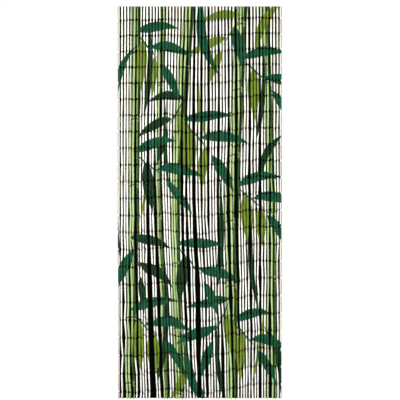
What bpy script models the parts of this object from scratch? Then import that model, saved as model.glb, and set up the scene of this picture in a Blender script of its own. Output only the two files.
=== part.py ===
"""Bamboo door curtain: strings of bamboo tubes that hang side by side from a narrow heading strip.

Metres, +Z up. The origin is the middle of the heading strip's top edge. The strings hang down -Z,
and the curtain's face looks along -Y.
"""

import random
from math import pi, sin

import bmesh
import bpy

MM = 0.001

# Driving dimensions
CURTAIN_WIDTH = 0.900
CURTAIN_DROP = 2.155
STRING_COUNT = 50
TUBE_DIAMETER = 0.013
STRIP_HEIGHT = 0.012
STRIP_THICKNESS = 0.004
STRIP_END_INSET = 0.005

# How the strings hang from the strip's face
ROOT_SINK = 0.002
HANG_CLEARANCE = 0.0003
ROOT_TOP_INSET = 0.001
ROOT_END = 0.014
HANG_START = 0.045
HANG_SECTIONS = 13

# The gaps between the strings
GAP_UNEVENNESS = 0.30
GAP_SEED = 34

# Both tables are in millimetres, at five heights evenly spaced from the strip to the hem.
# How far the strings in the middle lean towards +X. Both outer strings hang straight.
MIDDLE_DRIFTS = (-3.0, -8.0, -13.0, -12.0, 12.0)
# A row is a wide gap between two strings. The strings share what width is left.
WIDE_GAPS = (
    # after string, (at the strip, a quarter down, half way, three quarters down, at the hem)
    (2, (4, 4, 4, 8, 15)),
    (4, (4, 4, 4, 12, 5)),
    (6, (6, 11, 14, 12, 9)),
    (10, (6, 8, 15, 24, 30)),
    (12, (4, 4, 12, 19, 10)),
    (14, (10, 9, 6, 5, 4)),
    (21, (6, 9, 13, 10, 4)),
    (22, (6, 11, 11, 12, 5)),
    (24, (7, 13, 17, 24, 17)),
    (26, (7, 11, 8, 5, 11)),
    (28, (8, 11, 9, 5, 4)),
    (31, (7, 10, 10, 7, 14)),
    (34, (6, 8, 15, 16, 11)),
    (36, (10, 13, 14, 8, 5)),
    (40, (9, 10, 11, 9, 6)),
    (43, (6, 8, 13, 8, 12)),
    (46, (6, 6, 7, 8, 17)),
)
HEIGHTS = len(MIDDLE_DRIFTS)


def smooth_between(values, drop_share):
    """Catmull-Rom curve through evenly spaced values, read at a share of the drop from 0 to 1."""
    place = min(max(drop_share, 0.0), 1.0) * (len(values) - 1)
    i = min(int(place), len(values) - 2)
    t = place - i
    before = values[max(i - 1, 0)]
    here = values[i]
    there = values[i + 1]
    after = values[min(i + 2, len(values) - 1)]
    return here + 0.5 * t * (
        there - before
        + t * (2 * before - 5 * here + 4 * there - after + t * (3 * (here - there) + after - before))
    )


def string_places():
    """For each string, its x at the five heights of the gap table."""
    rng = random.Random(GAP_SEED)
    shares = [
        [rng.uniform(1 - GAP_UNEVENNESS, 1 + GAP_UNEVENNESS) for _ in range(HEIGHTS)]
        for _ in range(STRING_COUNT - 1)
    ]
    wide = dict(WIDE_GAPS)
    places = [[] for _ in range(STRING_COUNT)]
    for height in range(HEIGHTS):
        widths = {after: row[height] * MM for after, row in wide.items()}
        spare = CURTAIN_WIDTH - STRING_COUNT * TUBE_DIAMETER - sum(widths.values())
        share_sum = sum(s[height] for after, s in enumerate(shares, 1) if after not in widths)
        left = 0.0
        for number in range(1, STRING_COUNT + 1):
            lean = sin(pi * left / (CURTAIN_WIDTH - TUBE_DIAMETER)) * MIDDLE_DRIFTS[height] * MM
            places[number - 1].append(left + lean + (TUBE_DIAMETER - CURTAIN_WIDTH) / 2)
            if number < STRING_COUNT:
                gap = widths.get(number, spare * shares[number - 1][height] / share_sum)
                left += TUBE_DIAMETER + gap
    return places


def string_path(places):
    """Points down one string: its root against the strip, then its hang just in front of the strip."""
    root_y = -STRIP_THICKNESS / 2 + ROOT_SINK - TUBE_DIAMETER / 2
    hang_y = -STRIP_THICKNESS / 2 - HANG_CLEARANCE - TUBE_DIAMETER / 2
    points = []
    for depth in (ROOT_TOP_INSET, ROOT_END):
        points.append((smooth_between(places, depth / CURTAIN_DROP), root_y, -depth))
    for section in range(HANG_SECTIONS):
        depth = HANG_START + (CURTAIN_DROP - HANG_START) * section / (HANG_SECTIONS - 1)
        points.append((smooth_between(places, depth / CURTAIN_DROP), hang_y, -depth))
    return points


def add_material(name, colour, roughness):
    material = bpy.data.materials.new(name)
    material.use_nodes = True
    shader = material.node_tree.nodes["Principled BSDF"]
    shader.inputs["Base Color"].default_value = (*colour, 1.0)
    shader.inputs["Roughness"].default_value = roughness
    shader.inputs["Metallic"].default_value = 0.0
    return material


def add_strings(collection):
    """All strings as one mesh of four-sided rods, each rod a closed body of its own."""
    curve = bpy.data.curves.new("string_paths", "CURVE")
    curve.dimensions = "3D"
    curve.bevel_depth = TUBE_DIAMETER / 2
    curve.bevel_resolution = 0
    curve.use_fill_caps = True
    curve.twist_mode = "MINIMUM"
    for places in string_places():
        points = string_path(places)
        spline = curve.splines.new("POLY")
        spline.points.add(len(points) - 1)
        for point, place in zip(spline.points, points):
            point.co = (*place, 1.0)
    paths = bpy.data.objects.new("string_paths", curve)
    collection.objects.link(paths)
    bpy.context.view_layer.update()

    graph = bpy.context.evaluated_depsgraph_get()
    mesh = bpy.data.meshes.new_from_object(paths.evaluated_get(graph))
    cage = bmesh.new()
    cage.from_mesh(mesh)
    bmesh.ops.remove_doubles(cage, verts=cage.verts, dist=0.00001)
    bmesh.ops.recalc_face_normals(cage, faces=cage.faces)
    cage.to_mesh(mesh)
    cage.free()
    strings = bpy.data.objects.new("bamboo_strings", mesh)
    strings.matrix_world = paths.matrix_world
    collection.objects.link(strings)
    bpy.data.objects.remove(paths)
    bpy.data.curves.remove(curve)
    return strings


def add_heading_strip(collection):
    """The narrow strip that the strings' roots are fixed in."""
    mesh = bpy.data.meshes.new("heading_strip")
    cage = bmesh.new()
    bmesh.ops.create_cube(cage, size=1.0)
    size = (CURTAIN_WIDTH - 2 * STRIP_END_INSET, STRIP_THICKNESS, STRIP_HEIGHT)
    bmesh.ops.scale(cage, vec=size, verts=cage.verts)
    bmesh.ops.translate(cage, vec=(0, 0, -STRIP_HEIGHT / 2), verts=cage.verts)
    cage.to_mesh(mesh)
    cage.free()
    strip = bpy.data.objects.new("heading_strip", mesh)
    collection.objects.link(strip)
    strip.hide_render = True
    strip.display_type = "WIRE"
    return strip


for old in list(bpy.data.objects):
    bpy.data.objects.remove(old)

parts = bpy.data.collections.new("bamboo_door_curtain")
cutters = bpy.data.collections.new("cutters")
bpy.context.scene.collection.children.link(parts)
bpy.context.scene.collection.children.link(cutters)

strings = add_strings(parts)
strings.data.materials.append(add_material("bamboo", (0.80, 0.77, 0.66), 0.55))

fuse = strings.modifiers.new("roots_in_strip", "BOOLEAN")
fuse.operation = "UNION"
fuse.solver = "EXACT"
fuse.object = add_heading_strip(cutters)
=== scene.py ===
import random
from math import cos, pi, radians, sin

import bmesh
import bpy
from mathutils import Matrix, Vector


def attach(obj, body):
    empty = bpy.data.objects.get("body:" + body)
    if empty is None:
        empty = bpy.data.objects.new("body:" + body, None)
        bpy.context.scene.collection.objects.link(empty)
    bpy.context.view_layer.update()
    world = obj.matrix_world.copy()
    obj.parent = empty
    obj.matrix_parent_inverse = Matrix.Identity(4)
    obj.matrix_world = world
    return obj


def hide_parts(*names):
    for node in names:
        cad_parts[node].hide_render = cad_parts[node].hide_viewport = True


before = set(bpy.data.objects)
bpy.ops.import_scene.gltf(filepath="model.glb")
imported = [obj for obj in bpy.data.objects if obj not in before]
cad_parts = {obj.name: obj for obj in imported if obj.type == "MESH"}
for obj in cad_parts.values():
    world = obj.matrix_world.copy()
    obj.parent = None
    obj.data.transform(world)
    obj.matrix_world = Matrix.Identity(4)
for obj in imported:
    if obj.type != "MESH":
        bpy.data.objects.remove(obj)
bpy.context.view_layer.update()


# Heading strip: the narrow lath of soft wood, stained dark, that all the cords hang from.
# It is planed to 890 by 12 by 4 mm with its edges rubbed round, and the tops of the strings
# cover its face. The photograph is cropped below the real heading, so it is kept plain.
MM = 0.001
CURTAIN_WIDTH = 0.900
STRIP_END_INSET = 0.005
STRIP_HEIGHT = 0.012
STRIP_THICKNESS = 0.004
STRIP_EDGE = 0.0008
STRIP_FIBRE_DEPTH = 0.00015
GLOSS_LEVEL = 0.12


def paint(red, green, blue):
    """A colour given as screen values from 0 to 255, turned into a shader's linear one."""
    linear = []
    for value in (red, green, blue):
        share = value / 255
        linear.append(share / 12.92 if share <= 0.04045 else ((share + 0.055) / 1.055) ** 2.4)
    return (*linear, 1.0)


def add_node(tree, kind, **settings):
    node = tree.nodes.new(kind)
    for name, value in settings.items():
        setattr(node, name, value)
    return node


def feed(tree, socket, value):
    """Links another node's output into a socket, or sets the socket to a plain value."""
    if isinstance(value, bpy.types.NodeSocket):
        tree.links.new(value, socket)
    else:
        socket.default_value = value


def calc(tree, operation, *values, clamp=False):
    node = add_node(tree, "ShaderNodeMath", operation=operation, use_clamp=clamp)
    for socket, value in zip(node.inputs, values):
        feed(tree, socket, value)
    return node.outputs["Value"]


def spread(tree, value, low, high, to_low=0.0, to_high=1.0):
    """Carries a range of values over to another, with soft ends."""
    node = add_node(tree, "ShaderNodeMapRange", interpolation_type="SMOOTHSTEP")
    names = ("Value", "From Min", "From Max", "To Min", "To Max")
    for name, amount in zip(names, (value, low, high, to_low, to_high)):
        feed(tree, node.inputs[name], amount)
    return node.outputs["Result"]


def stretch(tree, place, scale):
    node = add_node(tree, "ShaderNodeMapping")
    feed(tree, node.inputs["Vector"], place)
    feed(tree, node.inputs["Scale"], scale)
    return node.outputs["Vector"]


def noise(tree, place, scale=1.0, detail=2.0, roughness=0.5):
    node = add_node(tree, "ShaderNodeTexNoise")
    names = ("Vector", "Scale", "Detail", "Roughness")
    for name, amount in zip(names, (place, scale, detail, roughness)):
        feed(tree, node.inputs[name], amount)
    return node.outputs["Fac"]


def mix_colour(tree, share, below, above, blend="MIX"):
    node = add_node(tree, "ShaderNodeMix", data_type="RGBA", blend_type=blend)
    for index, value in ((0, share), (6, below), (7, above)):
        feed(tree, node.inputs[index], value)
    return node.outputs[2]


def object_place(tree):
    return add_node(tree, "ShaderNodeTexCoord").outputs["Object"]


def new_group(name, takes, gives):
    """An empty node group with named sockets. Returns it, what comes in and what goes out."""
    group = bpy.data.node_groups.new(name, "ShaderNodeTree")
    for way, sockets in (("INPUT", takes), ("OUTPUT", gives)):
        for label, kind in sockets:
            group.interface.new_socket(name=label, in_out=way, socket_type="NodeSocket" + kind)
    taken = add_node(group, "NodeGroupInput").outputs
    given = add_node(group, "NodeGroupOutput").inputs
    return group, taken, given


def use_group(tree, group, **values):
    node = add_node(tree, "ShaderNodeGroup", node_tree=group)
    for name, value in values.items():
        feed(tree, node.inputs[name.replace("_", " ")], value)
    return node.outputs


def new_material(name, roughness):
    """A material with its shader, whose steady values are set here. Returns the three of them."""
    material = bpy.data.materials.new(name)
    material.use_nodes = True
    tree = material.node_tree
    shader = tree.nodes["Principled BSDF"]
    shader.inputs["Roughness"].default_value = roughness
    shader.inputs["Specular IOR Level"].default_value = GLOSS_LEVEL
    return material, tree, shader


def add_bump(tree, shader, height, depth):
    bump = add_node(tree, "ShaderNodeBump")
    feed(tree, bump.inputs["Height"], height)
    feed(tree, bump.inputs["Distance"], depth)
    feed(tree, bump.inputs["Strength"], 1.0)
    tree.links.new(bump.outputs["Normal"], shader.inputs["Normal"])


def shade_smooth(cage):
    for face in cage.faces:
        face.smooth = True


def to_mesh(name, cage):
    mesh = bpy.data.meshes.new(name)
    cage.to_mesh(mesh)
    cage.free()
    return mesh


def add_object(name, data):
    thing = bpy.data.objects.new(name, data)
    bpy.context.scene.collection.objects.link(thing)
    return thing


def finish_piece(name, cage, material):
    """Puts a finished bmesh into the scene, as a piece that stands for the plain strings."""
    mesh = to_mesh(name, cage)
    mesh.materials.append(material)
    piece = add_object(name, mesh)
    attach(piece, "root")
    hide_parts("bamboo_strings")


# Grain runs along whatever way its place is stretched: broad streaks, and fine fibres in them.
grain, taken, given = new_group(
    "wood grain", (("Place", "Vector"),), (("Streaks", "Float"), ("Fibres", "Float"))
)
streaks = noise(grain, taken["Place"], scale=1.0, detail=3.0, roughness=0.6)
fibres = noise(grain, taken["Place"], scale=4.5, detail=2.0, roughness=0.7)
grain.links.new(spread(grain, streaks, 0.30, 0.70), given["Streaks"])
grain.links.new(spread(grain, fibres, 0.35, 0.65), given["Fibres"])

WOOD = paint(58, 40, 26)
WOOD_STREAK = paint(92, 66, 42)
WOOD_FIBRE = paint(34, 23, 15)
stained_wood, tree, shader = new_material("stained wood", 0.5)
wood = use_group(tree, grain, Place=stretch(tree, object_place(tree), (14, 500, 500)))
tone = mix_colour(tree, wood["Streaks"], WOOD, WOOD_STREAK)
tone = mix_colour(tree, calc(tree, "MULTIPLY", wood["Fibres"], 0.45), tone, WOOD_FIBRE)
tree.links.new(tone, shader.inputs["Base Color"])
tree.links.new(spread(tree, wood["Fibres"], 0.0, 1.0, 0.42, 0.62), shader.inputs["Roughness"])
add_bump(tree, shader, wood["Fibres"], STRIP_FIBRE_DEPTH)

cage = bmesh.new()
bmesh.ops.create_cube(cage, size=1.0)
strip_size = (CURTAIN_WIDTH - 2 * STRIP_END_INSET, STRIP_THICKNESS, STRIP_HEIGHT)
bmesh.ops.scale(cage, vec=strip_size, verts=cage.verts)
bmesh.ops.translate(cage, vec=(0, 0, -STRIP_HEIGHT / 2), verts=cage.verts)
bmesh.ops.bevel(
    cage, geom=cage.edges[:], offset=STRIP_EDGE, offset_type="OFFSET", affect="EDGES",
    segments=2, profile=0.5, material=-1,
)
shade_smooth(cage)
finish_piece("heading_strip", cage, stained_wood)


# Bamboo tubes: thin culms cut to length between two joints, the ends shaved to a narrow mouth.
# Each slides loose on its cord and rests on the knot below. The front is painted white, with
# stems and leafy twigs over that, the flanks are darkened with painted shade, and the back is
# bare bamboo.
CURTAIN_DROP = 2.155
STRING_COUNT = 50
STRING_PITCH = CURTAIN_WIDTH / STRING_COUNT
TUBE_DIAMETER = 0.013
HANG_CLEARANCE = 0.0003
HANG_Y = -STRIP_THICKNESS / 2 - HANG_CLEARANCE - TUBE_DIAMETER / 2
ROOT_TOP_INSET = 0.001
GAP_UNEVENNESS = 0.30
GAP_SEED = 34

# Both tables are in millimetres, at five heights evenly spaced from the strip to the hem.
# How far the strings in the middle lean towards +X. Both outer strings hang straight.
MIDDLE_DRIFTS = (-3.0, -8.0, -13.0, -12.0, 12.0)
# A row is a wide gap between two strings. The strings share what width is left.
WIDE_GAPS = (
    # after string, (at the strip, a quarter down, half way, three quarters down, at the hem)
    (2, (4, 4, 4, 8, 15)),
    (4, (4, 4, 4, 12, 5)),
    (6, (6, 11, 14, 12, 9)),
    (10, (6, 8, 15, 24, 30)),
    (12, (4, 4, 12, 19, 10)),
    (14, (10, 9, 6, 5, 4)),
    (21, (6, 9, 13, 10, 4)),
    (22, (6, 11, 11, 12, 5)),
    (24, (7, 13, 17, 24, 17)),
    (26, (7, 11, 8, 5, 11)),
    (28, (8, 11, 9, 5, 4)),
    (31, (7, 10, 10, 7, 14)),
    (34, (6, 8, 15, 16, 11)),
    (36, (10, 13, 14, 8, 5)),
    (40, (9, 10, 11, 9, 6)),
    (43, (6, 8, 13, 8, 12)),
    (46, (6, 6, 7, 8, 17)),
)
HEIGHTS = len(MIDDLE_DRIFTS)

# The even rows of joints, in metres.
FIRST_JOINT = 0.077
JOINT_PITCH = 0.085
PITCH_GROWTH = 0.0007
JOINT_HEIGHT = 0.0072
SHORTEST_TUBE = 0.022
# How far the joints of a string sit below the even rows, in millimetres.
ROW_SHIFTS = (
    # string, at the strip, at the hem
    (1, 3, 8),
    (5, -2, 14),
    (10, 2, 4),
    (16, -4, -12),
    (22, 3, 12),
    (27, 5, 18),
    (33, -3, -8),
    (38, -8, -22),
    (44, -15, -42),
    (50, -9, -30),
)
# How far a whole string may slip down or stand forward, and each joint beyond that, in
# millimetres.
STRING_SLIP = 1.5
JOINT_SLIP = 1.3
STRING_FORWARD = 0.8
JOINT_FORWARD = 0.3
# How far joints sway to the side, in metres. Strings between two wide gaps have a share of it
# in common, and each joint has a share of its own.
SWAY_AT_STRIP = 0.0012
SWAY_AT_HEM = 0.0052
SWAY_GROWTH = 1.5
SHARED_SWAY = 0.55
OWN_SWAY = 0.6
JOINT_SEED = 11
# Neighbours are pushed apart to this distance, by a share of the overlap in each sweep.
CLOSEST_STRINGS = 0.0134
SWEEPS = 60
PUSH_SHARE = 0.55


def smooth_between(values, drop_share):
    """Catmull-Rom curve through evenly spaced values, read at a share of the drop."""
    place = min(max(drop_share, 0.0), 1.0) * (len(values) - 1)
    i = min(int(place), len(values) - 2)
    t = place - i
    before = values[max(i - 1, 0)]
    here = values[i]
    there = values[i + 1]
    after = values[min(i + 2, len(values) - 1)]
    bend = 2 * before - 5 * here + 4 * there - after
    twist = 3 * (here - there) + after - before
    return here + 0.5 * t * (there - before + t * (bend + t * twist))


def string_places():
    """For each string, its x at the five heights of the gap table."""
    rng = random.Random(GAP_SEED)
    shares = [
        [rng.uniform(1 - GAP_UNEVENNESS, 1 + GAP_UNEVENNESS) for _ in range(HEIGHTS)]
        for _ in range(STRING_COUNT - 1)
    ]
    wide = dict(WIDE_GAPS)
    places = [[] for _ in range(STRING_COUNT)]
    for height in range(HEIGHTS):
        widths = {after: row[height] * MM for after, row in wide.items()}
        spare = CURTAIN_WIDTH - STRING_COUNT * TUBE_DIAMETER - sum(widths.values())
        share_sum = sum(s[height] for after, s in enumerate(shares, 1) if after not in widths)
        left = 0.0
        for number in range(1, STRING_COUNT + 1):
            lean = sin(pi * left / (CURTAIN_WIDTH - TUBE_DIAMETER)) * MIDDLE_DRIFTS[height] * MM
            places[number - 1].append(left + lean + (TUBE_DIAMETER - CURTAIN_WIDTH) / 2)
            if number < STRING_COUNT:
                gap = widths.get(number, spare * shares[number - 1][height] / share_sum)
                left += TUBE_DIAMETER + gap
    return places


def row_shift(number, depth):
    """How far a string's joints sit below the even rows, at a depth under the strip."""
    for (first, top_a, hem_a), (last, top_b, hem_b) in zip(ROW_SHIFTS, ROW_SHIFTS[1:]):
        if first <= number <= last:
            t = (number - first) / (last - first)
            top = top_a + (top_b - top_a) * t
            hem = hem_a + (hem_b - hem_a) * t
            return (top + (hem - top) * depth / CURTAIN_DROP) * MM


def x_on_string(points, height):
    """Where a string's straight tubes cross a height."""
    for upper, lower in zip(points, points[1:]):
        if height >= lower.z:
            break
    share = (height - lower.z) / (upper.z - lower.z)
    return lower.x + (upper.x - lower.x) * min(max(share, 0.0), 1.0)


def keep_apart(strings):
    """Pushes strings away from their neighbours until no tube runs into another one.

    The outer strings stay straight, so their neighbours take the whole push.
    """
    last = len(strings) - 1
    for _ in range(SWEEPS):
        for left in range(last):
            for moved, other, away in ((left, left + 1, -1), (left + 1, left, 1)):
                share = 1.0 if other in (0, last) else PUSH_SHARE
                for point in strings[moved][1:]:
                    apart = away * (point.x - x_on_string(strings[other], point.z))
                    if CLOSEST_STRINGS - apart > 0:
                        point.x += away * (CLOSEST_STRINGS - apart) * share
        for outer in (strings[0], strings[last]):
            for point in outer:
                point.x = outer[0].x


def string_joints():
    """For each string, the points where its tubes meet, with its two ends."""
    rng = random.Random(JOINT_SEED)
    left_of_wide_gaps = {after for after, _ in WIDE_GAPS}
    shared_sways = {}
    bundle = 0
    strings = []
    for number, places in enumerate(string_places(), 1):
        slip = rng.uniform(-STRING_SLIP, STRING_SLIP) * MM
        forward = rng.uniform(-STRING_FORWARD, STRING_FORWARD) * MM
        points = [Vector((places[0], HANG_Y - abs(forward) / 2, -ROOT_TOP_INSET))]
        row = 0
        while True:
            depth = FIRST_JOINT + JOINT_PITCH * row + PITCH_GROWTH * row * (row - 1) / 2
            growth = (depth / CURTAIN_DROP) ** SWAY_GROWTH
            sway = SWAY_AT_STRIP + (SWAY_AT_HEM - SWAY_AT_STRIP) * growth
            shared = shared_sways.setdefault((bundle, row), rng.uniform(-SHARED_SWAY, SHARED_SWAY))
            slip += rng.uniform(-JOINT_SLIP, JOINT_SLIP) * MM
            depth += row_shift(number, depth) + slip
            if depth > CURTAIN_DROP - SHORTEST_TUBE:
                break
            x = smooth_between(places, depth / CURTAIN_DROP)
            if 1 < number < STRING_COUNT:
                x += (shared + rng.uniform(-OWN_SWAY, OWN_SWAY)) * sway
            y = HANG_Y + forward + rng.uniform(-JOINT_FORWARD, JOINT_FORWARD) * MM
            points.append(Vector((x, y, -depth)))
            row += 1
        points.append(Vector((places[-1], HANG_Y + forward, -CURTAIN_DROP)))
        strings.append(points)
        if number in left_of_wide_gaps:
            bundle += 1
    keep_apart(strings)
    return strings


# What is painted, in metres from the curtain's middle and from the strip. The painter had the
# strings flat and evenly spaced, so the picture breaks up a little where they sway.
STEMS = (
    # x at the hem, x at the strip, bow to the right, width
    (-0.395, -0.345, 0.020, 0.054),
    (-0.215, -0.190, -0.012, 0.030),
    (-0.130, -0.045, -0.020, 0.060),
    (0.155, 0.235, -0.015, 0.062),
    (0.385, 0.350, 0.014, 0.046),
)
# The paints across a stem, each from a share of its width on.
STEM_BANDS = (
    (0.00, paint(92, 110, 30)),
    (0.08, paint(172, 192, 144)),
    (0.28, paint(112, 132, 42)),
    (0.35, paint(170, 191, 138)),
    (0.58, paint(116, 142, 70)),
    (0.67, paint(10, 48, 18)),
    (0.92, paint(70, 88, 20)),
)
STEM_WOBBLE = 0.006
# A ring is painted round a stem at each of its joints, with a pale bloom above and below it.
# It sags at the stem's edges. A stem's x at the hem, times the stagger, shifts its rings.
RING_SPACING = 0.36
RING_HEIGHT = 0.006
RING_SAG = 0.010
RING_STAGGER = 3.0
RING_GREEN = paint(52, 66, 16)
RING_STRENGTH = 0.85
BLOOM = paint(178, 194, 150)
BLOOM_STRENGTH = 0.5
# Leafy twigs: leaves stand left and right of a drooping twig in turn.
TWIGS = (
    # x, height, direction in degrees, leaves, leaf length, one paint, other paint
    (-0.345, -0.14, -44, 5, 0.24, "deep", "lime"),
    (-0.350, -0.80, -34, 4, 0.25, "deep", "dark"),
    (-0.375, -1.26, -68, 4, 0.23, "dark", "deep"),
    (-0.385, -1.66, -40, 5, 0.25, "deep", "lime"),
    (-0.055, -0.50, -126, 4, 0.22, "dark", "lime"),
    (-0.070, -0.62, -46, 5, 0.25, "deep", "lime"),
    (-0.105, -1.30, -52, 4, 0.24, "deep", "dark"),
    (0.232, -0.06, -128, 4, 0.22, "lime", "deep"),
    (0.228, -0.30, -40, 4, 0.25, "deep", "lime"),
    (0.195, -1.00, -38, 5, 0.25, "deep", "lime"),
    (0.165, -1.62, -126, 4, 0.24, "deep", "lime"),
    (0.160, -1.74, -44, 4, 0.24, "deep", "lime"),
)
# In degrees: the droop of a twig and of its leaves by its tip, the twig's own tilt, how far a
# leaf turns off it, and how much less the leaves at the tip do.
TWIG_DROOP = 8
TWIG_TILT = 6
LEAF_DROOP = 16
LEAF_TURN = 47
TIP_TURN_LOSS = 13
# Shares of a twig's leaf length: how far along it its leaves stand, how long each of them is,
# and then a leaf's width and bend as shares of its own length.
TWIG_REACH = 0.95
LEAF_SIZES = (1.06, 1.22, 1.10, 0.96, 1.04)
LEAF_WIDTH = 0.215
LEAF_BEND = 0.08
# A leaf is this share fuller at its foot and slimmer at its tip.
LEAF_TAPER = 0.48
# In metres: a twig's width, what is trimmed off a leaf's outline so that it ends in a point,
# and how unsteady the outline is.
TWIG_WIDTH = 0.012
LEAF_TRIM = 0.0012
LEAF_WOBBLE = 0.0020
# Long single leaves that reach in from the edges or stand between the stems.
BLADES = (
    # x, height, direction in degrees, length, width, bend, paint
    (-0.455, -0.50, 66, 0.32, 0.044, -0.04, "deep"),
    (0.020, 0.04, -76, 0.46, 0.052, 0.05, "deep"),
    (0.450, 0.02, -112, 0.38, 0.046, 0.05, "lime"),
    (-0.200, -2.18, 74, 0.40, 0.048, 0.05, "lime"),
    (0.030, -2.18, 104, 0.40, 0.050, -0.05, "deep"),
    (0.440, -2.16, 106, 0.40, 0.046, 0.05, "dark"),
    (0.455, -0.72, -112, 0.34, 0.042, 0.05, "dark"),
    (-0.298, -0.62, 87, 0.56, 0.030, 0.02, "dark"),
    (-0.428, -1.40, 93, 0.58, 0.028, -0.02, "dark"),
    (-0.262, -2.10, 85, 0.74, 0.034, 0.03, "dark"),
    (-0.145, -1.02, 92, 0.54, 0.026, -0.02, "dark"),
    (0.082, -1.58, 88, 0.70, 0.034, 0.03, "dark"),
    (0.118, -2.17, 94, 0.48, 0.030, -0.02, "dark"),
    (0.300, -0.78, 86, 0.60, 0.028, 0.02, "dark"),
    (0.322, -1.72, 94, 0.56, 0.032, -0.03, "dark"),
    (0.050, -0.74, 96, 0.38, 0.022, -0.02, "lime"),
    (0.275, -2.10, 82, 0.44, 0.026, 0.02, "lime"),
    (-0.318, -1.18, 84, 0.34, 0.020, 0.02, "lime"),
)
# Each paint's bright and dark tone. A paint lies over the ones before it.
PAINTS = {
    "lime": (paint(114, 133, 46), paint(81, 98, 18)),
    "dark": (paint(11, 55, 23), paint(5, 36, 8)),
    "deep": (paint(10, 82, 52), paint(1, 62, 36)),
}


def painted_leaves():
    """Every leaf and twig as (x, height, direction, length, width, bend, paint)."""
    leaves = []
    for x, height, direction, count, length, one, other in TWIGS:
        way = 1 if cos(radians(direction)) > 0 else -1
        for i in range(count):
            share = i / (count - 1)
            at_tip = i == count - 1
            side = 1 if i % 2 == 0 else -1
            turn = 0 if at_tip else side * way * (LEAF_TURN - TIP_TURN_LOSS * share)
            points_to = direction - way * LEAF_DROOP * share + turn
            along = radians(direction - way * TWIG_DROOP * share)
            reach = share * length * TWIG_REACH
            size = length * LEAF_SIZES[i % len(LEAF_SIZES)]
            leaves.append((
                x + reach * cos(along), height + reach * sin(along), points_to,
                size, size * LEAF_WIDTH, -LEAF_BEND * size * cos(radians(points_to)),
                one if side == 1 or at_tip else other,
            ))
        leaves.append((x, height, direction - way * TWIG_TILT, length, TWIG_WIDTH, 0.0, one))
    leaves.extend(BLADES)
    return leaves


def leaf_reach(leaf):
    """The least and greatest x that a painted leaf covers."""
    x, _, direction, length, width, bend, _ = leaf
    ahead = cos(radians(direction)) * length
    aside = abs(sin(radians(direction))) * (width / 2 + abs(bend))
    return min(x, x + ahead) - aside, max(x, x + ahead) + aside


def product(tree, first, second):
    node = add_node(tree, "ShaderNodeVectorMath", operation="DOT_PRODUCT")
    feed(tree, node.inputs[0], first)
    feed(tree, node.inputs[1], second)
    return node.outputs["Value"]


def split(tree, place):
    """The three numbers of a place."""
    node = add_node(tree, "ShaderNodeSeparateXYZ")
    feed(tree, node.inputs[0], place)
    return tuple(node.outputs)


def join(tree, *numbers):
    """A place made of three numbers."""
    node = add_node(tree, "ShaderNodeCombineXYZ")
    for socket, number in zip(node.inputs, numbers):
        feed(tree, socket, number)
    return node.outputs["Vector"]


def ripple(tree, noise_value, amount, onto):
    """Adds noise to a value, as much down as up."""
    return calc(tree, "MULTIPLY_ADD", calc(tree, "SUBTRACT", noise_value, 0.5), amount, onto)


# A painted leaf puts out how far inside its edge a place is. The place is (x, height, 1), so
# each of the leaf's two directions is one product with it.
leaf_shape, taken, given = new_group(
    "painted leaf",
    (
        ("Place", "Vector"), ("Along", "Vector"), ("Across", "Vector"),
        ("Half Width", "Float"), ("Bend", "Float"),
    ),
    (("Inside", "Float"),),
)
along = product(leaf_shape, taken["Place"], taken["Along"])
along = calc(leaf_shape, "MAXIMUM", calc(leaf_shape, "MINIMUM", along, 1.0), -1.0)
arch = calc(leaf_shape, "SUBTRACT", 1.0, calc(leaf_shape, "MULTIPLY", along, along))
taper = calc(leaf_shape, "MULTIPLY_ADD", along, -LEAF_TAPER, 1.0)
half_width = calc(leaf_shape, "MULTIPLY", arch, taper)
half_width = calc(leaf_shape, "MULTIPLY", half_width, taken["Half Width"])
off_rib = product(leaf_shape, taken["Place"], taken["Across"])
off_rib = calc(leaf_shape, "MULTIPLY_ADD", arch, taken["Bend"], off_rib)
off_rib = calc(leaf_shape, "ABSOLUTE", off_rib)
inside = calc(leaf_shape, "SUBTRACT", calc(leaf_shape, "SUBTRACT", half_width, off_rib), LEAF_TRIM)
leaf_shape.links.new(inside, given["Inside"])

# A painted stem: pale in the middle, a lime line down its left and a dark shaded right side.
stem_shape, taken, given = new_group(
    "painted stem",
    (
        ("Place", "Vector"), ("Hem", "Float"), ("Lean", "Float"), ("Bow", "Float"),
        ("Half Width", "Float"),
    ),
    (("Inside", "Float"), ("Colour", "Color")),
)
stem_x, stem_height, _ = split(stem_shape, taken["Place"])
rise = calc(stem_shape, "MULTIPLY_ADD", stem_height, 1 / CURTAIN_DROP, 1.0)
fall = calc(stem_shape, "SUBTRACT", 1.0, rise)
hump = calc(stem_shape, "MULTIPLY", calc(stem_shape, "MULTIPLY", rise, 4.0), fall)
middle = calc(stem_shape, "MULTIPLY_ADD", rise, taken["Lean"], taken["Hem"])
middle = calc(stem_shape, "MULTIPLY_ADD", hump, taken["Bow"], middle)
brush = noise(stem_shape, stretch(stem_shape, taken["Place"], (160, 5, 1)))
offset = ripple(stem_shape, brush, STEM_WOBBLE, calc(stem_shape, "SUBTRACT", stem_x, middle))
inside = calc(stem_shape, "ABSOLUTE", offset)
inside = calc(stem_shape, "SUBTRACT", taken["Half Width"], inside)
stem_shape.links.new(inside, given["Inside"])
across = calc(stem_shape, "DIVIDE", offset, taken["Half Width"])
sag = calc(stem_shape, "MULTIPLY", across, across)
ring = calc(stem_shape, "MULTIPLY_ADD", sag, RING_SAG, stem_height)
ring = calc(stem_shape, "MULTIPLY_ADD", taken["Hem"], RING_STAGGER, ring)
ring = calc(stem_shape, "PINGPONG", ring, RING_SPACING / 2)
ring_line = spread(stem_shape, ring, RING_HEIGHT, RING_HEIGHT * 0.6)
ring_bloom = spread(stem_shape, ring, RING_HEIGHT * 3, RING_HEIGHT)
bands = add_node(stem_shape, "ShaderNodeValToRGB")
bands.color_ramp.interpolation = "CONSTANT"
stops = bands.color_ramp.elements
stops[1].position = 1.0
stops[1].color = STEM_BANDS[-1][1]
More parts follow.
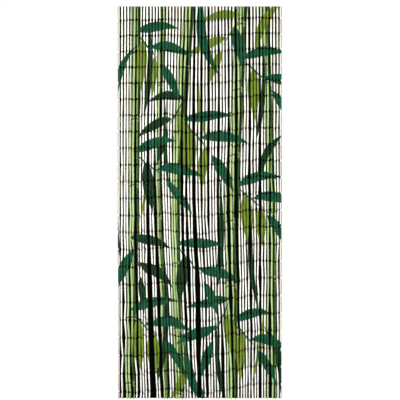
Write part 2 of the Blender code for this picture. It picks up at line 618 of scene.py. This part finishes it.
stops[0].color = STEM_BANDS[0][1]
for position, colour in STEM_BANDS[1:]:
    stops.new(position).color = colour
feed(stem_shape, bands.inputs["Fac"], calc(stem_shape, "MULTIPLY_ADD", across, 0.5, 0.5))
ring_bloom = calc(stem_shape, "MULTIPLY", ring_bloom, BLOOM_STRENGTH)
ring_line = calc(stem_shape, "MULTIPLY", ring_line, RING_STRENGTH)
ringed = mix_colour(stem_shape, ring_bloom, bands.outputs["Color"], BLOOM)
ringed = mix_colour(stem_shape, ring_line, ringed, RING_GREEN)
stem_shape.links.new(ringed, given["Colour"])

# Bare bamboo: straw with browner streaks and dark fibres, and a tone of its own for each tube.
STRAW = paint(222, 196, 142)
STRAW_STREAK = paint(182, 148, 96)
STRAW_BROWN = paint(160, 126, 78)
STRAW_FIBRE = paint(104, 78, 46)
bare_bamboo, taken, given = new_group(
    "bare bamboo",
    (("Place", "Vector"), ("Chance", "Float")),
    (("Colour", "Color"), ("Streaks", "Float"), ("Fibres", "Float")),
)
apart = join(
    bare_bamboo, calc(bare_bamboo, "MULTIPLY", taken["Chance"], 40.0), 0.0,
    calc(bare_bamboo, "MULTIPLY", taken["Chance"], 11.0),
)
moved = add_node(bare_bamboo, "ShaderNodeVectorMath", operation="ADD")
feed(bare_bamboo, moved.inputs[0], stretch(bare_bamboo, taken["Place"], (420, 420, 16)))
feed(bare_bamboo, moved.inputs[1], apart)
fibre = use_group(bare_bamboo, grain, Place=moved.outputs["Vector"])
tone = mix_colour(bare_bamboo, fibre["Streaks"], STRAW, STRAW_STREAK)
browner = calc(bare_bamboo, "MULTIPLY", taken["Chance"], 0.6)
tone = mix_colour(bare_bamboo, browner, tone, STRAW_BROWN)
dark_fibres = calc(bare_bamboo, "MULTIPLY", fibre["Fibres"], 0.35)
tone = mix_colour(bare_bamboo, dark_fibres, tone, STRAW_FIBRE)
bare_bamboo.links.new(tone, given["Colour"])
bare_bamboo.links.new(fibre["Streaks"], given["Streaks"])
bare_bamboo.links.new(fibre["Fibres"], given["Fibres"])

# The white ground and the painted shade on the flanks beside it. Their edges are given as how far
# a place on a tube faces the front, from 1 in the middle of its front to 0 on its sides and -1 on
# its back.
GROUND_WHITE = paint(245, 247, 243)
GROUND_GREY = paint(184, 183, 168)
GROUND_BEIGE = paint(204, 192, 162)
BEIGE_PLACES = (0.40, 0.64)
BEIGE_STRENGTH = 0.50
GROUND_FIBRE = paint(150, 147, 133)
GROUND_FIBRE_STRENGTH = 0.30
GROUND_EDGE = (0.65, 0.77)
GROUND_RAGGED = 0.22
GROUND_FIBRE_RAGGED = 0.10
FLANK_SHADE = paint(15, 14, 12)
FLANK_SHADE_EDGE = (0.80, 0.64)
FLANK_SHADE_DEPTHS = (0.55, 0.97)
FLANK_SHADE_BACK_EDGE = (-0.45, 0.0)
# For each metre that a place lies lower, the white gets this much narrower, so the painted shade
# on the flanks grows wider, and this much less beige.
NARROWER_BELOW = 0.052
WHITER_BELOW = 0.045
# The green paints are thinner: they run on round the flanks, and painted shade darkens them
# there.
GREEN_EDGE = (-0.02, 0.20)
GREEN_SHADE_EDGE = (0.74, 0.50)
GREEN_SHADE_ON_STEMS = (0.18, 0.30, 0.12, 1.0)
GREEN_SHADE_ON_LEAVES = (0.55, 0.95, 0.90, 1.0)
BRUSHED_STEM = paint(96, 124, 44)
BRUSHED_STRENGTH = 0.22
STEM_CRISPNESS = 1200.0
LEAF_CRISPNESS = 1500.0
# Wear. Distances from a tube's end are in millimetres, and fall from 0 to -1 over its cut rim.
CHIPPED = (0.655, 0.70)
CHIP_STRENGTH = 0.75
RUBBED_END = (0.3, 1.6)
RUBBED_STRENGTH = 0.25
CUT_RIM = (-0.6, -0.05)
CUT_WOOD = paint(84, 62, 38)
COAT_DEPTH = 0.00018


def bamboo_material(name, left, right, leaves):
    """Bamboo for the tubes between two places across the curtain, with what is painted there."""
    material, tree, shader = new_material(name, 0.5)
    painted = add_node(tree, "ShaderNodeAttribute", attribute_name="paint_place")
    flat_x, height, front = split(tree, painted.outputs["Vector"])
    on_tube = add_node(tree, "ShaderNodeAttribute", attribute_name="tube_place")
    end_distance, tone_of_tube, chance = split(tree, on_tube.outputs["Vector"])
    spot = join(tree, flat_x, height, 1.0)
    place = object_place(tree)
    bare = use_group(tree, bare_bamboo, Place=place, Chance=chance)

    # The white ground on the front, ragged along its edges, and the painted shade on the
    # flanks beside it.
    edge = ripple(tree, noise(tree, place, 70.0, 3.0, 0.6), GROUND_RAGGED, front)
    edge = ripple(tree, bare["Fibres"], GROUND_FIBRE_RAGGED, edge)
    # Lower down the white is narrower and the painted shade on the flanks wider.
    narrower = calc(tree, "MULTIPLY", height, NARROWER_BELOW)
    ground_mask = spread(tree, calc(tree, "ADD", edge, narrower), *GROUND_EDGE)
    ground = mix_colour(tree, tone_of_tube, GROUND_WHITE, GROUND_GREY)
    beige = noise(tree, stretch(tree, spot, (16, 3.5, 1)), 1.0, 3.0, 0.6)
    beige = calc(tree, "MULTIPLY_ADD", height, WHITER_BELOW, beige)
    beige = spread(tree, beige, *BEIGE_PLACES, 0.0, BEIGE_STRENGTH)
    ground = mix_colour(tree, beige, ground, GROUND_BEIGE)
    fibres = calc(tree, "MULTIPLY", bare["Fibres"], GROUND_FIBRE_STRENGTH)
    ground = mix_colour(tree, fibres, ground, GROUND_FIBRE)
    # Painted shade: the flanks that face the front are darkened, more so lower down, fading out
    # round the back.
    flank_shading = spread(tree, calc(tree, "ADD", front, narrower), *FLANK_SHADE_EDGE, *FLANK_SHADE_DEPTHS)
    flank_shading = calc(tree, "MULTIPLY", spread(tree, front, *FLANK_SHADE_BACK_EDGE), flank_shading)
    shaded_flank = mix_colour(tree, flank_shading, bare["Colour"], FLANK_SHADE)
    colour = mix_colour(tree, ground_mask, shaded_flank, ground)

    # The green paints, laid over it one after another: first the stems.
    green_front = spread(tree, edge, *GREEN_EDGE)
    # Painted shade: the green paints are darkened on the tubes' flanks.
    green_shade = spread(tree, edge, *GREEN_SHADE_EDGE)
    brush = noise(tree, stretch(tree, spot, (150, 14, 1)), 1.0, 3.0)
    brush = spread(tree, brush, 0.30, 0.70)
    coats = [ground_mask]
    for hem, top, bow, width in STEMS:
        slack = abs(bow) + width
        if max(hem, top) + slack < left or min(hem, top) - slack > right:
            continue
        stem = use_group(
            tree, stem_shape, Place=spot, Hem=hem, Lean=top - hem, Bow=bow, Half_Width=width / 2
        )
        covers = calc(tree, "MULTIPLY_ADD", stem["Inside"], STEM_CRISPNESS, 0.5, clamp=True)
        covers = calc(tree, "MULTIPLY", covers, green_front)
        brushed = calc(tree, "MULTIPLY", brush, BRUSHED_STRENGTH)
        shade = mix_colour(tree, brushed, stem["Colour"], BRUSHED_STEM)
        shade = mix_colour(tree, green_shade, shade, GREEN_SHADE_ON_STEMS, "MULTIPLY")
        colour = mix_colour(tree, covers, colour, shade)
        coats.append(covers)

    # Then the leaves, one paint after another.
    wobble = noise(tree, spot, 140.0, 2.0)
    for name_of_paint, (bright, dark) in PAINTS.items():
        nearest = None
        for leaf in leaves:
            least, most = leaf_reach(leaf)
            if leaf[-1] != name_of_paint or most < left or least > right:
                continue
            x, foot, direction, length, width, bend, _ = leaf
            way = (cos(radians(direction)), sin(radians(direction)))
            foot_along = (x * way[0] + foot * way[1]) * 2 / length
            ahead = (way[0] * 2 / length, way[1] * 2 / length, -foot_along - 1)
            aside = (-way[1], way[0], x * way[1] - foot * way[0])
            inside = use_group(
                tree, leaf_shape, Place=spot, Along=ahead, Across=aside,
                Half_Width=width / 2, Bend=bend,
            )["Inside"]
            nearest = inside if nearest is None else calc(tree, "MAXIMUM", nearest, inside)
        if nearest is None:
            continue
        nearest = ripple(tree, wobble, LEAF_WOBBLE, nearest)
        covers = calc(tree, "MULTIPLY_ADD", nearest, LEAF_CRISPNESS, 0.5, clamp=True)
        covers = calc(tree, "MULTIPLY", covers, green_front)
        shade = mix_colour(tree, brush, bright, dark)
        shade = mix_colour(tree, green_shade, shade, GREEN_SHADE_ON_LEAVES, "MULTIPLY")
        colour = mix_colour(tree, covers, colour, shade)
        coats.append(covers)

    # Wear: small chips along the grain show the bare wood, paint is rubbed off the shaved ends
    # in streaks, and the cut rims are bare and dark.
    chips = noise(tree, stretch(tree, place, (520, 520, 90)), 1.0, 4.0, 0.65)
    chips = spread(tree, chips, *CHIPPED, 0.0, CHIP_STRENGTH)
    colour = mix_colour(tree, chips, colour, bare["Colour"])
    unrubbed = calc(tree, "MULTIPLY_ADD", bare["Fibres"], 1.6, end_distance)
    unrubbed = spread(tree, unrubbed, *RUBBED_END)
    rubbed = mix_colour(tree, RUBBED_STRENGTH, colour, bare["Colour"])
    colour = mix_colour(tree, unrubbed, rubbed, colour)
    colour = mix_colour(tree, spread(tree, end_distance, *CUT_RIM), CUT_WOOD, colour)
    tree.links.new(colour, shader.inputs["Base Color"])

    # Painted places are a little duller than bare ones, and stand proud of them.
    coat = coats[0]
    for covers in coats[1:]:
        coat = calc(tree, "MAXIMUM", coat, covers)
    dullness = calc(tree, "MULTIPLY_ADD", coat, 0.16, 0.40)
    dullness = calc(tree, "MULTIPLY_ADD", bare["Fibres"], 0.10, dullness)
    tree.links.new(dullness, shader.inputs["Roughness"])
    relief = calc(tree, "MULTIPLY_ADD", coat, 0.5, calc(tree, "MULTIPLY", bare["Fibres"], 0.6))
    relief = calc(tree, "MULTIPLY_ADD", bare["Streaks"], 0.5, relief)
    add_bump(tree, shader, relief, COAT_DEPTH)
    return material


# The tubes' own sizes, in metres, and how they vary.
TUBE_SIDES = 12
RIM_DIAMETER = 0.0078
MOUTH_DIAMETER = 0.0056
SHAVED_HEIGHT = 0.0042
TEMPLATE_LENGTH = 0.080
MERGE_DISTANCE = 0.00001
SHARPEST_SMOOTH = radians(40)
GIRTHS = (0.965, 1.015)
GIRTH_TAPER = 0.02
TUBE_SEED = 8
STRINGS_A_PIECE = 2
# A piece's material has what is painted on its strings and this far to each side of them.
PAINT_MARGIN = 0.003
# How far from white to grey a string's and a tube's ground may be. A few odd tubes are greyer,
# and so are the outer strings, which hands and door frames rub.
STRING_TONE = 0.14
TUBE_TONE = 0.12
ODD_TONE = 0.5
ODD_CHANCE = 0.06
OUTER_TONES = {1: 0.75, STRING_COUNT: 0.60}


def flat_place(number):
    """Where a string lay across the curtain when it was painted."""
    return (number - (STRING_COUNT + 1) / 2) * STRING_PITCH


def add_layers(cage):
    """On each point: its place in the picture, and its distance from the tube's end and tones."""
    return [cage.verts.layers.float_vector.new(name) for name in ("paint_place", "tube_place")]


def clean(cage):
    bmesh.ops.remove_doubles(cage, verts=cage.verts, dist=MERGE_DISTANCE)
    bmesh.ops.recalc_face_normals(cage, faces=cage.faces)
    shade_smooth(cage)


def add_copy(cage, template):
    """Adds a copy of a template mesh to a bmesh, and returns the copy's vertices."""
    before = len(cage.verts)
    cage.from_mesh(template)
    cage.verts.ensure_lookup_table()
    return cage.verts[before:]


def tube_template():
    """One hollow tube along Z about the origin, spun from the section of its wall."""
    cage = bmesh.new()
    add_layers(cage)
    half = TEMPLATE_LENGTH / 2
    section = (
        # radius, height
        (MOUTH_DIAMETER / 2, -half),
        (RIM_DIAMETER / 2, -half),
        (TUBE_DIAMETER / 2, -half + SHAVED_HEIGHT),
        (TUBE_DIAMETER / 2, half - SHAVED_HEIGHT),
        (RIM_DIAMETER / 2, half),
        (MOUTH_DIAMETER / 2, half),
    )
    points = [cage.verts.new((radius, 0, height)) for radius, height in section]
    wall = [cage.edges.new(pair) for pair in zip(points, points[1:] + points[:1])]
    bmesh.ops.spin(
        cage, geom=points + wall, cent=(0, 0, 0), axis=(0, 0, 1), angle=2 * pi,
        steps=TUBE_SIDES, use_merge=True,
    )
    clean(cage)
    for edge in cage.edges:
        edge.smooth = edge.calc_face_angle() < SHARPEST_SMOOTH
    return to_mesh("tube template", cage)


def add_tube(cage, template, upper, lower, number, slip, tone, rng):
    """Adds a tube between two joints, and notes on its skin where the painter met it."""
    axis = (upper - lower).normalized()
    longer = (upper - lower).length - TEMPLATE_LENGTH
    girth_above = rng.uniform(*GIRTHS)
    girth_below = girth_above + rng.uniform(-GIRTH_TAPER, GIRTH_TAPER)
    chance = rng.random()
    turn = Matrix.Rotation(rng.uniform(0, 2 * pi), 3, "Z")
    tilt = Vector((0, 0, 1)).rotation_difference(axis).to_matrix()
    middle = (upper + lower) / 2
    paint_place = cage.verts.layers.float_vector["paint_place"]
    tube_place = cage.verts.layers.float_vector["tube_place"]
    for vert in add_copy(cage, template):
        radius = vert.co.xy.length
        end_distance = (TEMPLATE_LENGTH / 2 - abs(vert.co.z)) / MM
        if radius < MOUTH_DIAMETER / 2 + MERGE_DISTANCE:
            end_distance = -1.0
        local = turn @ vert.co
        girth = girth_above if local.z > 0 else girth_below
        local.x *= girth
        local.y *= girth
        local.z += longer / 2 if local.z > 0 else -longer / 2
        place = middle + tilt @ local
        across = flat_place(number) + local.x * STRING_PITCH / TUBE_DIAMETER
        vert[paint_place] = (across, place.z + slip, -local.y / radius)
        vert[tube_place] = (end_distance, tone, chance)
        vert.co = place


leaves = painted_leaves()
joints = string_joints()
template = tube_template()
rng = random.Random(TUBE_SEED)
half_joint = Vector((0, 0, JOINT_HEIGHT / 2))
for first in range(1, STRING_COUNT + 1, STRINGS_A_PIECE):
    numbers = range(first, first + STRINGS_A_PIECE)
    cage = bmesh.new()
    add_layers(cage)
    for number in numbers:
        points = joints[number - 1]
        string_tone = OUTER_TONES.get(number, rng.uniform(0.0, STRING_TONE))
        for i, (upper, lower) in enumerate(zip(points, points[1:])):
            head = upper if i == 0 else upper - half_joint
            foot = lower if i == len(points) - 2 else lower + half_joint
            slip = row_shift(number, -(upper.z + lower.z) / 2)
            tone = string_tone + rng.uniform(0.0, TUBE_TONE)
            tone += ODD_TONE if rng.random() < ODD_CHANCE else 0.0
            add_tube(cage, template, head, foot, number, slip, min(tone, 1.0), rng)
    left = (first - 1 - STRING_COUNT / 2) * STRING_PITCH - PAINT_MARGIN
    right = left + STRINGS_A_PIECE * STRING_PITCH + 2 * PAINT_MARGIN
    name = f"tubes_{first:02d}_{numbers[-1]:02d}"
    finish_piece(name, cage, bamboo_material(name.replace("_", " "), left, right, leaves))
bpy.data.meshes.remove(template)


# Cords and knots: one cotton cord down each string, tied in a round knot under every tube.
# Its upper end is drawn over the first tube's rim into a hole in the strip's top edge, and
# glued there. The last knot is drawn up into the lowest tube's mouth.
CORD_DIAMETER = 0.0017
KNOT_DIAMETER = 0.0062
KNOT_HEIGHT = 0.0090
KNOT_LOBES = 0.10
KNOT_TIP = 0.25
KNOT_SEED = 5
LAST_KNOT_RISE = 0.0026
CORD_END_RISE = 0.004
COTTON_DEPTH = 0.0003
COTTON = paint(238, 229, 205)
COTTON_SOILED = paint(212, 198, 166)
COTTON_LAY = paint(150, 132, 98)
COTTON_FLUFF = paint(250, 245, 230)
KNOT_WHITE = paint(236, 234, 226)
# The cord's way out of its hole in the strip and over the rim, as y and z, and then down into
# the bore, with y from the middle of the tube.
HOLE_TO_RIM = ((0.0, -0.003), (-0.0002, 0.0004), (-0.0018, 0.0012), (-0.0045, 0.0008))
RIM_TO_BORE = ((0.0012, -0.0004), (0.0, -0.0040))


def paint_at(x, height, leaves):
    """The topmost paint at a place on the flat curtain, which a knot there took."""
    found = KNOT_WHITE
    for hem, top, bow, width in STEMS:
        rise = 1 + height / CURTAIN_DROP
        middle = hem + (top - hem) * rise + bow * 4 * rise * (1 - rise)
        across = (x - middle) / width + 0.5
        if 0 < across < 1:
            found = [colour for start, colour in STEM_BANDS if start <= across][-1]
    for name_of_paint, (bright, dark) in PAINTS.items():
        for leaf_x, leaf_height, direction, length, width, bend, colour in leaves:
            if colour != name_of_paint:
                continue
            way = Vector((cos(radians(direction)), sin(radians(direction))))
            reach = Vector((x - leaf_x, height - leaf_height))
            along = min(max(reach.dot(way) * 2 / length - 1, -1), 1)
            arch = 1 - along * along
            off_rib = abs(way.x * reach.y - way.y * reach.x + arch * bend)
            if arch * (1 - LEAF_TAPER * along) * width / 2 > off_rib + LEAF_TRIM:
                found = [(a + b) / 2 for a, b in zip(bright, dark)]
    return found


def knot_template():
    """A round knot with the lay of its turns pressed into it."""
    cage = bmesh.new()
    cage.verts.layers.float_color.new("knot_paint")
    bmesh.ops.create_uvsphere(cage, u_segments=8, v_segments=6, radius=0.5)
    for vert in cage.verts:
        at_pole = vert.co.xy.length <= 0.01
        turn = 0 if at_pole else Vector(vert.co.xy).angle_signed(Vector((1, 0)), 0)
        swell = 1 + KNOT_LOBES * cos(2 * turn + 7 * vert.co.z)
        vert.co.x *= swell
        vert.co.y *= swell
    bmesh.ops.scale(cage, vec=(KNOT_DIAMETER, KNOT_DIAMETER, KNOT_HEIGHT), verts=cage.verts)
    shade_smooth(cage)
    return to_mesh("knot template", cage)


cotton, tree, shader = new_material("cream cotton cord", 0.9)
place = object_place(tree)
lay = add_node(tree, "ShaderNodeTexWave", wave_type="BANDS", bands_direction="DIAGONAL")
feed(tree, lay.inputs["Vector"], place)
feed(tree, lay.inputs["Scale"], 260.0)
feed(tree, lay.inputs["Distortion"], 3.0)
lay = lay.outputs["Fac"]
fluff = noise(tree, place, 1500.0, 2.0)
soil = noise(tree, place, 9.0, 2.0)
tone = mix_colour(tree, soil, COTTON, COTTON_SOILED)
tone = mix_colour(tree, calc(tree, "MULTIPLY", lay, 0.30), tone, COTTON_LAY)
tone = mix_colour(tree, calc(tree, "MULTIPLY", fluff, 0.25), tone, COTTON_FLUFF)
painted = add_node(tree, "ShaderNodeAttribute", attribute_name="knot_paint")
painted_front = ripple(tree, fluff, 0.4, painted.outputs["Alpha"])
painted_front = spread(tree, painted_front, 0.05, 0.30)
tone = mix_colour(tree, painted_front, tone, painted.outputs["Color"])
tree.links.new(tone, shader.inputs["Base Color"])
tree.links.new(spread(tree, fluff, 0.0, 1.0, 0.82, 0.98), shader.inputs["Roughness"])
add_bump(tree, shader, calc(tree, "ADD", lay, fluff), COTTON_DEPTH)

route = bpy.data.curves.new("cord routes", "CURVE")
route.dimensions = "3D"
route.bevel_depth = CORD_DIAMETER / 2
route.bevel_resolution = 1
route.use_fill_caps = True
for points in joints:
    top = points[0]
    line = [Vector((top.x, y, z)) for y, z in HOLE_TO_RIM]
    line += [Vector((top.x, top.y + y, z)) for y, z in RIM_TO_BORE]
    line += points[1:-1] + [points[-1] + Vector((0, 0, CORD_END_RISE))]
    spline = route.splines.new("POLY")
    spline.points.add(len(line) - 1)
    for point, spot in zip(spline.points, line):
        point.co = (*spot, 1.0)
cords = add_object("cord routes", route)
bpy.context.view_layer.update()
graph = bpy.context.evaluated_depsgraph_get()
cord_mesh = bpy.data.meshes.new_from_object(cords.evaluated_get(graph))
bpy.data.objects.remove(cords)
bpy.data.curves.remove(route)
cage = bmesh.new()
cage.from_mesh(cord_mesh)
clean(cage)
cage.to_mesh(cord_mesh)
cage.free()

cage = bmesh.new()
cage.verts.layers.float_color.new("knot_paint")
knot = knot_template()
rng = random.Random(KNOT_SEED)
for number, points in enumerate(joints, 1):
    for spot in points[1:-1] + [points[-1] + Vector((0, 0, LAST_KNOT_RISE))]:
        turn = Matrix.Rotation(rng.uniform(0, 2 * pi), 3, "Z")
        tip = Matrix.Rotation(rng.uniform(-KNOT_TIP, KNOT_TIP), 3, "X")
        took = paint_at(flat_place(number), spot.z + row_shift(number, -spot.z), leaves)
        copy = add_copy(cage, knot)
        knot_paint = cage.verts.layers.float_color["knot_paint"]
        for vert in copy:
            local = tip @ turn @ vert.co
            vert[knot_paint] = (*took[:3], -local.y * 2 / KNOT_DIAMETER)
            vert.co = spot + local
# The cords' mesh comes last, because the knots are placed by the order of their points.
cage.from_mesh(cord_mesh)
finish_piece("cords_and_knots", cage, cotton)
bpy.data.meshes.remove(cord_mesh)
bpy.data.meshes.remove(knot)


# Studio: the black card that the photograph has behind the curtain, seen from the front alone,
# a white floor under the hem, an even white surround, two soft boxes in front, the stronger one
# on the left, and one behind. None of it is part of the curtain.
CARD_Y = 0.0045
CARD_SIZE = (CURTAIN_WIDTH - 0.009, CURTAIN_DROP - 0.001)
CARD_BLACK = (0.0015, 0.0015, 0.0015, 1.0)
FLOOR_GAP = 0.012
FLOOR_SIZE = 30
FLOOR_WHITE = (0.84, 0.84, 0.83, 1.0)
FLOOR_GLOW = 0.85
SURROUND_LIGHT = 0.40
SURROUND_GLOW = 0.60
PURE_WHITE = (1.0, 1.0, 1.0, 1.0)
SOFTBOX_SIZE = 2.4
SOFTBOX_AIM = (0, 0, -1.1)
SOFTBOXES = (
    # name, place, watts
    ("left softbox", (-1.6, -5.0, -0.2), 326),
    ("right softbox", (2.4, -4.6, -0.9), 52),
    ("back softbox", (1.8, 4.8, -0.4), 75),
)
SENSOR_WIDTH = 36
CAMERA_DISTANCE = 7.0
CAMERA_X = 0.0014
CAMERA_Z = -1.0642
IMAGE_WIDTH_THERE = 2.1995
FACE_ON = radians(90)


def add_sheet(name, width, depth, material, turn, move):
    """A flat staging sheet that faces up, then turned about X and moved in its mesh."""
    cage = bmesh.new()
    bmesh.ops.create_grid(cage, x_segments=1, y_segments=1, size=0.5)
    bmesh.ops.scale(cage, vec=(width, depth, 1), verts=cage.verts)
    bmesh.ops.rotate(cage, cent=(0, 0, 0), matrix=Matrix.Rotation(turn, 3, "X"), verts=cage.verts)
    bmesh.ops.translate(cage, vec=move, verts=cage.verts)
    mesh = to_mesh(name, cage)
    mesh.materials.append(material)
    add_object(name, mesh)


def seen_by_camera(tree):
    """1 for what the camera sees straight, 0 for light that only bounces."""
    return add_node(tree, "ShaderNodeLightPath").outputs["Is Camera Ray"]


black_card, tree, shader = new_material("black card", 1.0)
shader.inputs["Base Color"].default_value = CARD_BLACK
shader.inputs["Specular IOR Level"].default_value = 0.0
see_through = add_node(tree, "ShaderNodeBsdfTransparent")
one_sided = add_node(tree, "ShaderNodeMixShader")
from_behind = add_node(tree, "ShaderNodeNewGeometry").outputs["Backfacing"]
bounced = calc(tree, "SUBTRACT", 1.0, seen_by_camera(tree))
tree.links.new(calc(tree, "MAXIMUM", bounced, from_behind), one_sided.inputs["Fac"])
tree.links.new(shader.outputs["BSDF"], one_sided.inputs[1])
tree.links.new(see_through.outputs["BSDF"], one_sided.inputs[2])
tree.links.new(one_sided.outputs["Shader"], tree.nodes["Material Output"].inputs["Surface"])
add_sheet("backing_card", *CARD_SIZE, black_card, FACE_ON, (0, CARD_Y, -CURTAIN_DROP / 2))

floor_paint, tree, shader = new_material("white floor", 0.8)
shader.inputs["Base Color"].default_value = FLOOR_WHITE
shader.inputs["Emission Color"].default_value = PURE_WHITE
floor_glow = calc(tree, "MULTIPLY", seen_by_camera(tree), FLOOR_GLOW)
feed(tree, shader.inputs["Emission Strength"], floor_glow)
add_sheet("floor", FLOOR_SIZE, FLOOR_SIZE, floor_paint, 0, (0, 0, -CURTAIN_DROP - FLOOR_GAP))

for name, place, power in SOFTBOXES:
    light = bpy.data.lights.new(name, "AREA")
    light.shape = "SQUARE"
    light.size = SOFTBOX_SIZE
    light.energy = power
    softbox = add_object(name, light)
    softbox.location = place
    aim = Vector(SOFTBOX_AIM) - Vector(place)
    softbox.rotation_euler = aim.to_track_quat("-Z", "Y").to_euler()

world = bpy.data.worlds.new("white surround")
world.use_nodes = True
tree = world.node_tree
surround = tree.nodes["Background"]
surround.inputs["Color"].default_value = PURE_WHITE
surround_light = calc(tree, "MULTIPLY_ADD", seen_by_camera(tree), SURROUND_GLOW, SURROUND_LIGHT)
feed(tree, surround.inputs["Strength"], surround_light)
bpy.context.scene.world = world
bpy.context.scene.view_settings.view_transform = "Standard"

camera_data = bpy.data.cameras.new("camera")
camera_data.sensor_width = SENSOR_WIDTH
camera_data.lens = SENSOR_WIDTH * CAMERA_DISTANCE / IMAGE_WIDTH_THERE
camera = add_object("camera", camera_data)
camera.location = (CAMERA_X, -CAMERA_DISTANCE, CAMERA_Z)
camera.rotation_euler = (FACE_ON, 0, 0)
bpy.context.scene.camera = camera
